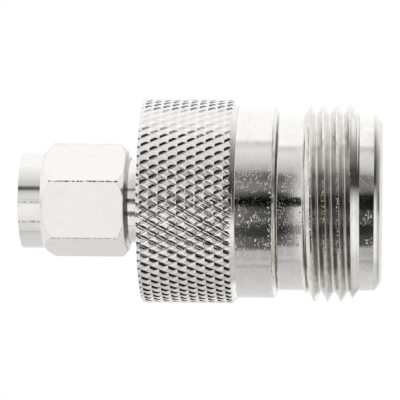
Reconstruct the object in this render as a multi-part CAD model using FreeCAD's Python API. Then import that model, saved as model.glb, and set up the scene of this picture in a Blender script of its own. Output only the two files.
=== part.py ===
"""A coaxial adapter: a type N jack at the foot, an SMA plug with its coupling nut at the top.

Millimetres. The axis is Z, the origin is the centre of the jack's front face, and +Z runs
along the adapter to the plug. Radii are written r, places along the axis z.
"""
import FreeCAD, Part
import math
import os

V = FreeCAD.Vector

# Jack shell, outside: a 5/8-24 thread between a nose and a neck, then a smooth barrel.
NOSE_R = 7.03
NOSE_CHAMFER_R, NOSE_CHAMFER_Z = 6.37, 0.60
THREAD_R = 7.90
THREAD_PITCH = 25.4 / 24
THREAD_CREST_FLAT = THREAD_PITCH / 8
THREAD_CONE_START_Z, THREAD_FULL_Z = 1.79, 2.45
THREAD_END_Z, NECK_START_Z = 5.62, 6.17
THREAD_GROOVE_Z = 1.04
NECK_R = 7.05
BARREL_R = 7.68
BARREL_CHAMFER_Z, BARREL_START_Z, BARREL_END_Z = 8.11, 8.51, 11.39

# Jack shell, inside: the mating bore, its stop face, and the hole that the bead is pressed into.
JACK_BORE_R, JACK_LEAD_IN = 4.05, 0.30
JACK_STOP_Z = 9.10
BEAD_R = 3.50
SPIGOT_R, SPIGOT_END_Z = 6.00, 14.90

# Knurled body: raised diamonds round a sleeve that is closed at its plug end.
KNURL_R, KNURL_DEPTH = 8.15, 0.32
KNURL_ROUND = 64
KNURL_PERIOD_Z = 1.438
KNURL_APEX_Z, KNURL_APEX_DEG = 17.27, -61.3
BODY_END_Z = 18.96
BODY_POCKET_END_Z = 17.00

# Plug shell: a flange held in the body, the shank that carries the nut, and the contact tube.
SHANK_R = 3.36
SHANK_END_Z = 23.45
TUBE_R, TUBE_BORE_R = 2.295, 2.065
REFERENCE_Z = 26.00
RING_GROOVE_R, RING_GROOVE_Z, RING_GROOVE_WIDTH = 2.95, 21.90, 0.80

# Coupling nut: an 8 mm hexagon with a plain round front. Its inner thread, 1/4-36, is left as
# a plain hole as wide as the thread's grooves, so that a mating jack can enter it.
NUT_FLATS = 8.00
NUT_REAR_Z, NUT_REAR_R = 20.07, 3.52
NUT_CONE_Z = 20.22
NUT_CORNER_Z = 20.80
NUT_HEX_END_Z = 26.19
NUT_FRONT_R, NUT_FRONT_Z = 3.87, 28.74
NUT_CORNER_DEG = -70.93
NUT_BORE_R = 3.42
NUT_THREAD_R, NUT_THREAD_START_Z = 3.20, 24.25

# Snap ring between the nut and the shank.
RING_R, RING_BORE_R, RING_THICK = 3.60, 3.02, 0.45
RING_Z = 21.93
RING_GAP = 0.90
RING_PLAY = 0.05

# Gasket, insulators and contacts.
GASKET_R, GASKET_BORE_R, GASKET_END_Z = 3.12, 2.86, 24.05
BEAD_FRONT_Z = 9.40
SOCKET_R, SOCKET_FACE_Z = 1.52, 5.00
SOCKET_HOLE_R, SOCKET_HOLE_DEEP = 0.825, 4.10
SOCKET_SLOT, SOCKET_SLOT_DEEP = 0.25, 3.60
STEM_R = 1.10
TAIL_R, TAIL_Z = 0.45, 12.90
PIN_R, LINE_PIN_R = 0.4635, 0.635
PIN_SHOULDER_Z, PIN_TIP_Z = 26.00, 28.25
PIN_TAPER, PIN_TIP_R = 0.35, 0.18

# Cutters and blanks reach this far past what they cut, the thread's V by this share of its pitch.
PAST = 0.50
THREAD_PAST = 12
FLANK_SLOPE = math.tan(math.radians(30))


def turned(outline):
    """Turns a closed outline of (r, z) points into a solid of revolution about Z."""
    points = [V(r, 0, z) for r, z in outline]
    face = Part.Face(Part.makePolygon(points + points[:1]))
    return face.revolve(V(0, 0, 0), V(0, 0, 1), 360)


def drilled(radius, z_low, z_high):
    """Makes a plain cylinder on the axis between two heights."""
    return Part.makeCylinder(radius, z_high - z_low, V(0, 0, z_low))


def v_groove(root_r, crest_r, pitch, z_low, z_high):
    """Makes a right-handed 60 degree V from its sharp root past the crest, to cut a thread."""
    outer_r = crest_r + pitch / THREAD_PAST
    half = (outer_r - root_r) * FLANK_SLOPE
    corners = [
        V(root_r, 0, z_low),
        V(outer_r, 0, z_low + half),
        V(outer_r, 0, z_low - half),
    ]
    helix = Part.makeLongHelix(pitch, z_high - z_low, root_r, 0.0)
    helix.translate(V(0, 0, z_low))
    outline = Part.makePolygon(corners + corners[:1])
    return Part.Wire(helix.Edges).makePipeShell([outline], True, True)


def n_jack_shell():
    """The jack's shell: outside thread, mating bore, and a spigot pressed into the body."""
    blank = turned([
        (JACK_BORE_R + JACK_LEAD_IN, 0),
        (NOSE_CHAMFER_R, 0),
        (NOSE_R, NOSE_CHAMFER_Z),
        (NOSE_R, THREAD_CONE_START_Z),
        (THREAD_R, THREAD_FULL_Z),
        (THREAD_R, THREAD_END_Z),
        (NECK_R, NECK_START_Z),
        (NECK_R, BARREL_CHAMFER_Z),
        (BARREL_R, BARREL_START_Z),
        (BARREL_R, BARREL_END_Z),
        (SPIGOT_R, BARREL_END_Z),
        (SPIGOT_R, SPIGOT_END_Z),
        (BEAD_R, SPIGOT_END_Z),
        (BEAD_R, JACK_STOP_Z),
        (JACK_BORE_R, JACK_STOP_Z),
        (JACK_BORE_R, JACK_LEAD_IN),
    ])
    depth = (THREAD_PITCH - THREAD_CREST_FLAT) / 2 / FLANK_SLOPE
    return blank.cut(v_groove(
        THREAD_R - depth, THREAD_R, THREAD_PITCH, THREAD_GROOVE_Z, NECK_START_Z + THREAD_PITCH))


def sewn(outlines):
    """Sews flat outlines, each a list of corners, into one solid."""
    faces = [Part.Face(Part.makePolygon(corners + corners[:1])) for corners in outlines]
    shell = Part.Shell(faces)
    shell.sewShape()
    return Part.Solid(shell)


def knurl_point(step, radius, z):
    """A point of the knurl's net, whose steps round the body are half a diamond apart."""
    angle = math.radians(KNURL_APEX_DEG) + step * math.pi / KNURL_ROUND
    return V(radius * math.cos(angle), radius * math.sin(angle), z)


def knurl_rod(first_row, last_row):
    """A solid rod covered with pointed diamonds, each four flat facets between two grooves.

    In every row diamond tips and groove crossings take turns, and the next row is shifted by
    half a diamond, so a tip's neighbours on all four sides are crossings.
    """
    root_r = KNURL_R - KNURL_DEPTH
    steps = 2 * KNURL_ROUND
    facets = []
    for row in range(first_row, last_row + 1):
        z = KNURL_APEX_Z + row * KNURL_PERIOD_Z / 2
        for step in range(row % 2, steps, 2):
            tip = knurl_point(step, KNURL_R, z)
            left = knurl_point(step - 1, root_r, z)
            right = knurl_point(step + 1, root_r, z)
            above = knurl_point(step, root_r, z + KNURL_PERIOD_Z / 2)
            below = knurl_point(step, root_r, z - KNURL_PERIOD_Z / 2)
            if row < last_row:
                facets += [[tip, right, above], [tip, above, left]]
            if row > first_row:
                facets += [[tip, left, below], [tip, below, right]]
        if row in (first_row, last_row):
            rim = []
            for step in range(steps):
                at_tip = (step - row) % 2 == 0
                rim.append(knurl_point(step, KNURL_R if at_tip else root_r, z))
            facets.append(rim)
    return sewn(facets)


def knurl_envelope():
    """A cone with one flat to each column of diamonds, which chamfers the end at the barrel."""
    top_z = BODY_END_Z
    top_r = BARREL_R + top_z - BARREL_END_Z
    columns = range(KNURL_ROUND)
    foot = [knurl_point(2 * column, BARREL_R, BARREL_END_Z) for column in columns]
    top = [knurl_point(2 * column, top_r, top_z) for column in columns]
    flats = [[foot[side - 1], foot[side], top[side], top[side - 1]] for side in columns]
    return sewn([foot, top] + flats)


def knurled_body():
    """The grip: a knurled sleeve with a chamfer at the barrel and a flat wall at the plug."""
    half_period = KNURL_PERIOD_Z / 2
    first_row = math.floor((BARREL_END_Z - KNURL_APEX_Z) / half_period) - 1
    last_row = math.ceil((BODY_END_Z - KNURL_APEX_Z) / half_period) + 1
    bar = knurl_rod(first_row, last_row).common(knurl_envelope())
    return bar.cut(turned([
        (0, BARREL_END_Z - PAST),
        (SPIGOT_R, BARREL_END_Z - PAST),
        (SPIGOT_R, BODY_POCKET_END_Z),
        (SHANK_R, BODY_POCKET_END_Z),
        (SHANK_R, BODY_END_Z + PAST),
        (0, BODY_END_Z + PAST),
    ]))


def sma_plug_shell():
    """The plug's shell: flange, shank with the ring's groove, and the outer contact tube."""
    return turned([
        (TUBE_BORE_R, SPIGOT_END_Z),
        (SPIGOT_R, SPIGOT_END_Z),
        (SPIGOT_R, BODY_POCKET_END_Z),
        (SHANK_R, BODY_POCKET_END_Z),
        (SHANK_R, RING_GROOVE_Z),
        (RING_GROOVE_R, RING_GROOVE_Z),
        (RING_GROOVE_R, RING_GROOVE_Z + RING_GROOVE_WIDTH),
        (SHANK_R, RING_GROOVE_Z + RING_GROOVE_WIDTH),
        (SHANK_R, SHANK_END_Z),
        (TUBE_R, SHANK_END_Z),
        (TUBE_R, REFERENCE_Z),
        (TUBE_BORE_R, REFERENCE_Z),
    ])


def hexagon_bar():
    """The nut's hexagon, turned about the axis to where the nut stands."""
    corner_r = NUT_FLATS / 2 / math.cos(math.radians(30))
    corners = []
    for side in range(6):
        angle = math.radians(NUT_CORNER_DEG + 60 * side)
        corners.append(V(corner_r * math.cos(angle), corner_r * math.sin(angle), NUT_REAR_Z))
    face = Part.Face(Part.makePolygon(corners + corners[:1]))
    return face.extrude(V(0, 0, NUT_FRONT_Z - NUT_REAR_Z))


def coupling_nut():
    """The coupling nut: hexagon bar turned to shape, and bored for the ring and the thread."""
    apothem = NUT_FLATS / 2
    corner_r = apothem / math.cos(math.radians(30))
    blank = turned([
        (0, NUT_REAR_Z),
        (NUT_REAR_R, NUT_REAR_Z),
        (apothem, NUT_CONE_Z),
        (corner_r, NUT_CORNER_Z),
        (corner_r, NUT_HEX_END_Z),
        (NUT_FRONT_R, NUT_HEX_END_Z + corner_r - NUT_FRONT_R),
        (NUT_FRONT_R, NUT_FRONT_Z),
        (0, NUT_FRONT_Z),
    ])
    groove_r = RING_R + RING_PLAY
    hollow = turned([
        (0, NUT_REAR_Z - PAST),
        (NUT_BORE_R, NUT_REAR_Z - PAST),
        (NUT_BORE_R, RING_Z - RING_PLAY),
        (groove_r, RING_Z - RING_PLAY),
        (groove_r, RING_Z + RING_THICK + RING_PLAY),
        (NUT_BORE_R, RING_Z + RING_THICK + RING_PLAY),
        (NUT_BORE_R, NUT_THREAD_START_Z),
        (NUT_THREAD_R, NUT_THREAD_START_Z),
        (NUT_THREAD_R, NUT_FRONT_Z + PAST),
        (0, NUT_FRONT_Z + PAST),
    ])
    return blank.common(hexagon_bar()).cut(hollow)


def snap_ring():
    """The split ring that lets the nut turn and holds it on the shank."""
    ring = drilled(RING_R, RING_Z, RING_Z + RING_THICK).cut(
        drilled(RING_BORE_R, RING_Z - PAST, RING_Z + RING_THICK + PAST))
    gap = Part.makeBox(RING_R + PAST, RING_GAP, RING_THICK + 2 * PAST,
                       V(0, -RING_GAP / 2, RING_Z - PAST))
    return ring.cut(gap)


def sma_gasket():
    """The soft washer on the shank's end face, which the mating jack's rim is pulled against."""
    return turned([
        (GASKET_BORE_R, SHANK_END_Z),
        (GASKET_R, SHANK_END_Z),
        (GASKET_R, GASKET_END_Z),
        (GASKET_BORE_R, GASKET_END_Z),
    ])


def n_insulator():
    """The jack's bead, pressed into the shell behind the stop face."""
    return turned([
        (STEM_R, BEAD_FRONT_Z),
        (BEAD_R, BEAD_FRONT_Z),
        (BEAD_R, SPIGOT_END_Z),
        (STEM_R, SPIGOT_END_Z),
    ])


def sma_insulator():
    """The plug's sleeve, from the bead to the end of the contact tube."""
    return turned([
        (LINE_PIN_R, SPIGOT_END_Z),
        (TUBE_BORE_R, SPIGOT_END_Z),
        (TUBE_BORE_R, REFERENCE_Z),
        (LINE_PIN_R, REFERENCE_Z),
    ])


def n_centre_contact():
    """The jack's socket: four sprung fingers, and a stem that takes the pin's tail."""
    socket = turned([
        (SOCKET_HOLE_R, SOCKET_FACE_Z),
        (SOCKET_R, SOCKET_FACE_Z),
        (SOCKET_R, BEAD_FRONT_Z),
        (STEM_R, BEAD_FRONT_Z),
        (STEM_R, SPIGOT_END_Z),
        (TAIL_R, SPIGOT_END_Z),
        (TAIL_R, TAIL_Z),
        (0, TAIL_Z),
        (0, SOCKET_FACE_Z + SOCKET_HOLE_DEEP),
        (SOCKET_HOLE_R, SOCKET_FACE_Z + SOCKET_HOLE_DEEP),
    ])
    slot_size = (2 * SOCKET_R + PAST, SOCKET_SLOT, SOCKET_SLOT_DEEP + PAST)
    for turn in (45, 135):
        slot = Part.makeBox(*slot_size, V(-slot_size[0] / 2, -SOCKET_SLOT / 2, SOCKET_FACE_Z - PAST))
        slot.rotate(V(0, 0, 0), V(0, 0, 1), turn)
        socket = socket.cut(slot)
    return socket


def sma_centre_pin():
    """The plug's pin: a tail in the socket's stem, the line's conductor and a tapered tip."""
    return turned([
        (0, TAIL_Z),
        (TAIL_R, TAIL_Z),
        (TAIL_R, SPIGOT_END_Z),
        (LINE_PIN_R, SPIGOT_END_Z),
        (LINE_PIN_R, PIN_SHOULDER_Z),
        (PIN_R, PIN_SHOULDER_Z),
        (PIN_R, PIN_TIP_Z - PIN_TAPER),
        (PIN_TIP_R, PIN_TIP_Z),
        (0, PIN_TIP_Z),
    ])


PIECES = (
    n_jack_shell,
    knurled_body,
    sma_plug_shell,
    coupling_nut,
    snap_ring,
    sma_gasket,
    n_insulator,
    sma_insulator,
    n_centre_contact,
    sma_centre_pin,
)

os.makedirs("parts", exist_ok=True)
for piece in PIECES:
    shape = piece()
    solid = shape.Solids[0]
    print(piece.__name__, "solids", len(shape.Solids), "valid", solid.isValid(),
          "faces", len(solid.Faces), "mm3 %.3f" % solid.Volume)
    solid.exportStep("parts/%s.step" % piece.__name__)
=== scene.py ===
import bpy
import math
from collections import namedtuple
from mathutils import Matrix, Vector


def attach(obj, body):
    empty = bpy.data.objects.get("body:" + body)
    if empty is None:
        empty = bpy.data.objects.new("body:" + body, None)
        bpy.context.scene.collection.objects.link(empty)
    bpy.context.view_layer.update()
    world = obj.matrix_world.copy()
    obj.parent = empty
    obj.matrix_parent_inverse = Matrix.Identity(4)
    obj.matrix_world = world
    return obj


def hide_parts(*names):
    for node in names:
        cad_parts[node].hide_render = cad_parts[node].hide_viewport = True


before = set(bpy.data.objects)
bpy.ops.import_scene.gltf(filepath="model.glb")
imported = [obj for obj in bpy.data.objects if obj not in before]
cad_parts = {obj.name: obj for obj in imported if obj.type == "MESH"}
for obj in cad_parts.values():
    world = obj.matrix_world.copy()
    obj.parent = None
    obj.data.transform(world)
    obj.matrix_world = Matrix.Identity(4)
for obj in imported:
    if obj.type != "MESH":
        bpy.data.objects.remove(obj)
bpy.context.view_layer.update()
MM = 0.001

# The camera looks at the adapter from its side, a little above the table on which the jack stands.
# The picture is turned so that the axis lies level and the plug points to the left. Lengths of the
# camera, table, tent and card are metres, and those of the adapter's pieces are millimetres.
CAMERA_AWAY = 0.200
CAMERA_ABOVE_TABLE = 0.0003
CAMERA_ABOVE_AXIS = 0.00009
CAMERA_TURN = math.radians(4.073)
PICTURE_TILT = math.radians(0.42)
PICTURE_SIZE = 400
FOCAL_PIXELS = 2502.0
SENSOR_WIDTH = 36.0
CAMERA_CLIP = (0.01, 10.0)
camera_data = bpy.data.cameras.new("camera")
camera_data.sensor_width = SENSOR_WIDTH
camera_data.lens = FOCAL_PIXELS / PICTURE_SIZE * SENSOR_WIDTH
camera_data.clip_start, camera_data.clip_end = CAMERA_CLIP
camera = bpy.data.objects.new("camera", camera_data)
bpy.context.collection.objects.link(camera)
ahead = Vector((0, math.cos(CAMERA_TURN), math.sin(CAMERA_TURN)))
upwards = Vector((1, 0, 0))
upwards.rotate(Matrix.Rotation(-PICTURE_TILT, 3, ahead))
rightwards = ahead.cross(upwards)
camera_place = Matrix.Translation((CAMERA_ABOVE_AXIS, -CAMERA_AWAY, CAMERA_ABOVE_TABLE))
camera.matrix_world = camera_place @ Matrix((rightwards, upwards, -ahead)).transposed().to_4x4()
bpy.context.scene.camera = camera
bpy.context.scene.view_settings.view_transform = "Standard"

# The room beyond is plain white, and so is the table, which keeps the adapter's shadow. The table
# is seen from above only, so that a view from below shows the jack's end.
WHITE = (1, 1, 1, 1)
TABLE_R, TABLE_SIDES, TABLE_DROP = 1.5, 96, 0.00003
TABLE_PAINT, TABLE_GLOW, TABLE_ROUGHNESS = (0.60, 0.60, 0.60, 1), 0.52, 0.9


def add(tree, kind, inputs=(), **settings):
    """Adds a shader node with its settings, and with values or other nodes' outputs as inputs."""
    node = tree.nodes.new("ShaderNode" + kind)
    for name, value in settings.items():
        setattr(node, name, value)
    for socket, value in dict(inputs).items():
        if isinstance(value, bpy.types.NodeSocket):
            tree.links.new(value, node.inputs[socket])
        else:
            node.inputs[socket].default_value = value
    return node


world = bpy.data.worlds.new("room")
bpy.context.scene.world = world
world.use_nodes = True
world.node_tree.nodes["Background"].inputs["Color"].default_value = WHITE
bpy.ops.object.select_all(action="DESELECT")
bpy.ops.mesh.primitive_circle_add(vertices=TABLE_SIDES, radius=TABLE_R, fill_type="NGON")
table = bpy.context.object
table.name = "table"
table.location.z = -TABLE_DROP
table_paint = bpy.data.materials.new("table_white")
table_paint.use_nodes = True
table_paint.cycles.emission_sampling = "NONE"
tree = table_paint.node_tree
shader = tree.nodes["Principled BSDF"]
shader.inputs["Base Color"].default_value = TABLE_PAINT
shader.inputs["Roughness"].default_value = TABLE_ROUGHNESS
shader.inputs["Specular IOR Level"].default_value = 0.0
shader.inputs["Emission Color"].default_value = WHITE
shader.inputs["Emission Strength"].default_value = TABLE_GLOW
from_below = add(tree, "NewGeometry").outputs["Backfacing"]
clear = add(tree, "BsdfTransparent").outputs[0]
seen = add(tree, "MixShader", {0: from_below, 1: shader.outputs[0], 2: clear}).outputs[0]
tree.links.new(seen, tree.nodes["Material Output"].inputs["Surface"])
table.data.materials.append(table_paint)

# Over the table stands a white tent, which the metal shows as bands along it. Its front wall has
# a low dark opening for the lens, and over that a hem, grey folds and the roof. Angles are degrees
# round the axis, 0 towards the camera and rising towards the picture's top.
TENT_R, TENT_SEGMENTS, TENT_RINGS = 2.0, 128, 64
OPENING = (
    (-180, 0.82), (-143, 0.72), (-118, 0.66), (-100, 0.59), (-88, 0.56), (-83, 0.42), (-78, 0.57),
    (-72, 0.46), (-62, 0.46), (-57, 0.06), (-43, 0.04), (-41, 0.01), (-28, 0.01), (-25, 0.05),
    (-13, 0.04), (-10, 0.01), (9, 0.01), (14, 0.15), (23, 0.17), (27, 0.10), (33, 0.12), (38, 0.42),
    (48, 0.65), (64, 0.84), (68, 0.74), (74, 0.66), (79, 1.06), (180, 1.12),
)
HEM = (
    (-180, 0.95), (-145, 0.75), (-138, 0.74), (-120, 0.66), (-95, 0.66), (-78, 0.86), (-60, 1.0),
    (-44, 0.99), (-41, 0.50), (-31, 0.50), (-28, 0.97), (-14, 0.96), (2, 0.94), (12, 0.84),
    (22, 0.74), (50, 0.70), (60, 0.80), (72, 0.92), (90, 1.06), (180, 1.08),
)
FOLDS = (
    (-180, 0.95), (-140, 0.74), (-98, 0.71), (-83, 0.66), (-69, 0.76), (-57, 0.78), (-46, 0.86),
    (-36, 0.96), (-14, 0.96), (-6, 0.82), (3, 0.81), (13, 0.74), (22, 0.50), (24, 0.06), (31, 0.06),
    (34, 0.55), (42, 0.67), (53, 0.80), (63, 0.87), (75, 0.95), (90, 1.06), (180, 1.06),
)
ROOF = (
    (-180, 0.85), (-110, 0.90), (-76, 0.96), (-50, 0.84), (-20, 0.82), (10, 0.92), (50, 1.0),
    (110, 1.05), (150, 0.95), (180, 0.85),
)
TENT_BANDS = ((HEM, 4.2, 4.8), (FOLDS, 7.5, 7.7), (ROOF, 11.0, 16.0))
LENS_DEGREES = (7.4, 8.6)


def maths(tree, operation, *values):
    """Adds one step of arithmetic and gives its result."""
    return add(tree, "Math", enumerate(values), operation=operation).outputs[0]


def ranged(tree, value, low, high, to_low=0.0, to_high=1.0):
    """Stretches what lies between two values to two others, and clips the rest."""
    return add(tree, "MapRange", {
        "Value": value, "From Min": low, "From Max": high, "To Min": to_low, "To Max": to_high,
    }).outputs[0]


def blended(tree, share, one, other):
    """Mixes two colours by the other one's share."""
    return add(tree, "Mix", {"Factor": share, "A": one, "B": other}, data_type="RGBA").outputs["Result"]


def bearing_of(tree, axes):
    """Adds the bearing round the axis in radians, 0 towards the camera."""
    return maths(tree, "ARCTAN2", axes.outputs["X"], maths(tree, "MULTIPLY", axes.outputs["Y"], -1.0))


def by_bearing(tree, bands, bearing):
    """Adds a colour ramp that gives each bearing of a full turn the grey written in bands."""
    ramp = add(tree, "ValToRGB", {0: ranged(tree, bearing, -math.pi, math.pi)})
    stops = ramp.color_ramp.elements
    while len(stops) > 1:
        stops.remove(stops[-1])
    for number, (degrees, grey) in enumerate(bands):
        place = (degrees + 180) / 360
        stop = stops[0] if number == 0 else stops.new(place)
        stop.position = place
        stop.color = (grey, grey, grey, 1)
    return ramp.outputs[0]


bpy.ops.object.select_all(action="DESELECT")
bpy.ops.mesh.primitive_uv_sphere_add(segments=TENT_SEGMENTS, ring_count=TENT_RINGS, radius=TENT_R)
tent = bpy.context.object
tent.name = "tent"
tent.visible_camera = False
tent_cloth = bpy.data.materials.new("tent_cloth")
tent_cloth.use_nodes = True
tent_cloth.cycles.emission_sampling = "NONE"
tree = tent_cloth.node_tree
tree.nodes.clear()
axes = add(tree, "SeparateXYZ", {0: add(tree, "TexCoord").outputs["Object"]})
bearing = bearing_of(tree, axes)
walls = by_bearing(tree, OPENING, bearing)
for bands, *elevations in TENT_BANDS:
    heights = [TENT_R * math.sin(math.radians(degrees)) for degrees in elevations]
    walls = blended(tree, ranged(tree, axes.outputs["Z"], *heights), walls, by_bearing(tree, bands, bearing))
lens = [-TENT_R * math.cos(math.radians(degrees)) for degrees in LENS_DEGREES]
glow = add(tree, "Emission", {"Color": walls, "Strength": ranged(tree, axes.outputs["Y"], *lens)})
add(tree, "OutputMaterial", {0: glow.outputs[0]})
tent.data.materials.append(tent_cloth)

# A dark card lies on the table round the adapter and glows in greys set by bearing. Only the metal
# shows it, so its greys are painted reflections: its near parts as the dark side of the nose, of
# the thread's cone and of the grip's chamfer, and its wide part as the dark side of each diamond
# of the knurl.
CARD_INNER_R, CARD_OUTER_R, CARD_SIDES, CARD_LIFT = 0.0064, 0.9, 96, 0.0002
CARD_RIM = (
    (-180, 1.0), (-98, 1.0), (-86, 0.94), (-78, 0.71), (-65, 0.55), (-50, 0.47), (-37, 0.53), (-21, 0.60),
    (-10, 0.47), (-5, 0.21), (0, 0.16), (5, 0.18), (10, 0.28), (16, 0.32), (26, 0.36), (32, 0.40),
    (37, 0.51), (42, 0.65), (48, 0.79), (59, 0.95), (180, 1.0),
)
CARD_NEAR = (
    (-180, 1.0), (-129, 0.97), (-114, 0.76), (-81, 0.66), (-48, 0.70), (-41, 0.88), (-30, 1.0),
    (-10, 1.0), (0, 0.80), (7, 0.42), (13, 0.06), (20, 0.05), (27, 0.08), (34, 0.18), (41, 0.23),
    (48, 0.37), (56, 0.59), (63, 0.82), (72, 0.92), (90, 0.98), (180, 1.0),
)
CARD_FOOT = (
    (-180, 0.95), (-161, 0.86), (-144, 0.74), (-127, 0.68), (-118, 0.56), (-108, 0.56), (-99, 0.62),
    (-79, 0.58), (-69, 0.67), (-58, 0.80), (-47, 0.95), (-36, 0.95), (-24, 0.72), (-12, 0.12), (0, 0.03),
    (24, 0.04), (36, 0.10), (47, 0.20), (58, 0.22), (69, 0.34), (79, 0.45), (89, 0.65), (99, 0.82),
    (118, 0.96), (180, 1.0),
)
CARD_FAR = (
    (-180, 1.0), (-98, 1.0), (-84, 0.03), (14, 0.02), (24, 0.70), (34, 0.90), (50, 0.90), (58, 0.25),
    (85, 0.25), (98, 1.0), (180, 1.0),
)
CARD_PARTS = (
    (CARD_NEAR, 0.0068, 0.0001), (CARD_FOOT, 0.0080, 0.0003), (CARD_FAR, 0.0190, 0.0010),
    (OPENING, 0.0800, 0.0100),
)
bpy.ops.object.select_all(action="DESELECT")
bpy.ops.mesh.primitive_circle_add(vertices=CARD_SIDES, radius=CARD_INNER_R, location=(0, 0, CARD_LIFT))
card = bpy.context.object
card.name = "black_card"
bpy.ops.object.mode_set(mode="EDIT")
bpy.ops.mesh.select_all(action="SELECT")
bpy.ops.mesh.extrude_region_move()
bpy.ops.transform.resize(value=(CARD_OUTER_R / CARD_INNER_R, CARD_OUTER_R / CARD_INNER_R, 1))
bpy.ops.object.mode_set(mode="OBJECT")
card.visible_camera = card.visible_diffuse = card.visible_shadow = card.visible_transmission = False
card_reflection_glow = bpy.data.materials.new("card_reflection_glow")
card_reflection_glow.use_nodes = True
card_reflection_glow.cycles.emission_sampling = "NONE"
tree = card_reflection_glow.node_tree
tree.nodes.clear()
place = add(tree, "TexCoord").outputs["Object"]
bearing = bearing_of(tree, add(tree, "SeparateXYZ", {0: place}))
out_r = add(tree, "VectorMath", {0: place}, operation="LENGTH").outputs["Value"]
greys = by_bearing(tree, CARD_RIM, bearing)
for bands, radius, blend in CARD_PARTS:
    outside = ranged(tree, out_r, radius - blend, radius + blend)
    greys = blended(tree, outside, greys, by_bearing(tree, bands, bearing))
# Painted reflection: the card's greys glow, and only the metal sees them.
glow = add(tree, "Emission", {"Color": greys})
add(tree, "OutputMaterial", {0: glow.outputs[0]})
card.data.materials.append(card_reflection_glow)

# Jack shell: the type N jack's outer part, a brass bar turned to its nose, neck, barrel and bores
# and cut with a 5/8-24 thread, then plated with bright nickel. Its spigot is pressed into the grip.
SHELL_SIDES = 192
SHELL_OUTLINE = (
    (4.35, 0.0), (6.37, 0.0), (7.03, 0.60), (7.03, 1.79), (7.90, 2.45), (7.90, 5.62), (7.05, 6.17),
    (7.05, 8.11), (7.68, 8.51), (7.68, 11.39), (6.00, 11.39), (6.00, 14.90), (3.50, 14.90),
    (3.50, 9.10), (4.05, 9.10), (4.05, 0.30),
)
SHELL_EDGE, EDGE_SEGMENTS, EDGE_DEGREES, SMOOTH_DEGREES = 0.035, 2, 35, 8
INCH, GROOVE_HALF = 25.4, 7 / 16
THREAD_PITCH = INCH / 24
THREAD_CREST_R, THREAD_ROOT_R = 7.90, 7.17
THREAD_START_Z, THREAD_TURNS = 1.04, 6
THREAD_STEPS = 96
THREAD_ROUNDING, ROUNDING_SEGMENTS = 0.03, 3
THREAD_PAST = 0.08
FLANK_DEGREES = 30
FLANK_SLOPE = math.tan(math.radians(FLANK_DEGREES))
MERGE_TURNED, MERGE_THREAD = 0.000001, 0.0000005


def finished(piece, edge=0.0):
    """Breaks a piece's sharp edges by a real bevel of that width in millimetres, and smooths it."""
    bpy.ops.object.select_all(action="DESELECT")
    piece.select_set(True)
    bpy.context.view_layer.objects.active = piece
    if edge:
        bevel = piece.modifiers.new("edge", "BEVEL")
        bevel.width = edge * MM
        bevel.segments = EDGE_SEGMENTS
        bevel.limit_method = "ANGLE"
        bevel.angle_limit = math.radians(EDGE_DEGREES)
        bpy.ops.object.modifier_apply(modifier=bevel.name)
    bpy.ops.object.shade_smooth_by_angle(angle=math.radians(SMOOTH_DEGREES))
    return piece


def turned(name, outline, sides, closed=True):
    """Turns an outline of (r, z) points in millimetres, each step extruded and drawn in or out."""
    bpy.ops.object.select_all(action="DESELECT")
    r, z = outline[0]
    bpy.ops.mesh.primitive_circle_add(vertices=sides, radius=r * MM,
                                      fill_type="NOTHING" if closed else "NGON")
    piece = bpy.context.object
    piece.name = piece.data.name = name
    bpy.ops.object.mode_set(mode="EDIT")
    bpy.ops.mesh.select_mode(type="VERT")
    bpy.ops.mesh.select_all(action="SELECT")
    bpy.ops.transform.translate(value=(0, 0, z * MM))
    for next_r, next_z in outline[1:] + (outline[:1] if closed else ()):
        bpy.ops.mesh.extrude_region_move(TRANSFORM_OT_translate={"value": (0, 0, (next_z - z) * MM)})
        bpy.ops.transform.resize(value=(next_r / r, next_r / r, 1), center_override=(0, 0, next_z * MM))
        r, z = next_r, next_z
    bpy.ops.mesh.select_all(action="SELECT")
    bpy.ops.mesh.remove_doubles(threshold=MERGE_TURNED)
    bpy.ops.mesh.normals_make_consistent(inside=False)
    bpy.ops.object.mode_set(mode="OBJECT")
    return piece


def thread_cutter(corners, pitch, turns, steps, rounding):
    """Screws a groove's section of four (r, z) corners, root first, up the axis, right-handed."""
    bpy.ops.object.select_all(action="DESELECT")
    bpy.ops.mesh.primitive_plane_add(size=MM)
    cutter = bpy.context.object
    for vertex, (r, z) in zip(cutter.data.vertices, corners):
        vertex.co = (r * MM, 0, z * MM)
    if rounding:
        bpy.ops.object.mode_set(mode="EDIT")
        bpy.ops.mesh.select_mode(type="VERT")
        bpy.ops.mesh.select_all(action="DESELECT")
        bpy.ops.object.mode_set(mode="OBJECT")
        for vertex in list(cutter.data.vertices)[:2]:
            vertex.select = True
        bpy.ops.object.mode_set(mode="EDIT")
        bpy.ops.mesh.bevel(offset=rounding * MM, segments=ROUNDING_SEGMENTS, affect="VERTICES")
        bpy.ops.object.mode_set(mode="OBJECT")
    screw = cutter.modifiers.new("screw", "SCREW")
    screw.axis = "Z"
    screw.angle = 2 * math.pi
    screw.screw_offset = pitch * MM
    screw.iterations = turns
    screw.steps = screw.render_steps = steps
    bpy.ops.object.modifier_apply(modifier=screw.name)
    bpy.ops.object.mode_set(mode="EDIT")
    bpy.ops.mesh.select_all(action="SELECT")
    bpy.ops.mesh.remove_doubles(threshold=MERGE_THREAD)
    bpy.ops.mesh.fill_holes(sides=0)
    bpy.ops.mesh.select_all(action="SELECT")
    bpy.ops.mesh.normals_make_consistent(inside=False)
    bpy.ops.object.mode_set(mode="OBJECT")
    return cutter


def cut(piece, tool, operation="DIFFERENCE"):
    """Cuts a piece by a closed tool, or keeps what both share, and takes the tool away."""
    bpy.ops.object.select_all(action="DESELECT")
    piece.select_set(True)
    bpy.context.view_layer.objects.active = piece
    boolean = piece.modifiers.new("cut", "BOOLEAN")
    boolean.operation = operation
    boolean.solver = "EXACT"
    boolean.object = tool
    bpy.ops.object.modifier_apply(modifier=boolean.name)
    bpy.data.objects.remove(tool)
    return piece


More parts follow.
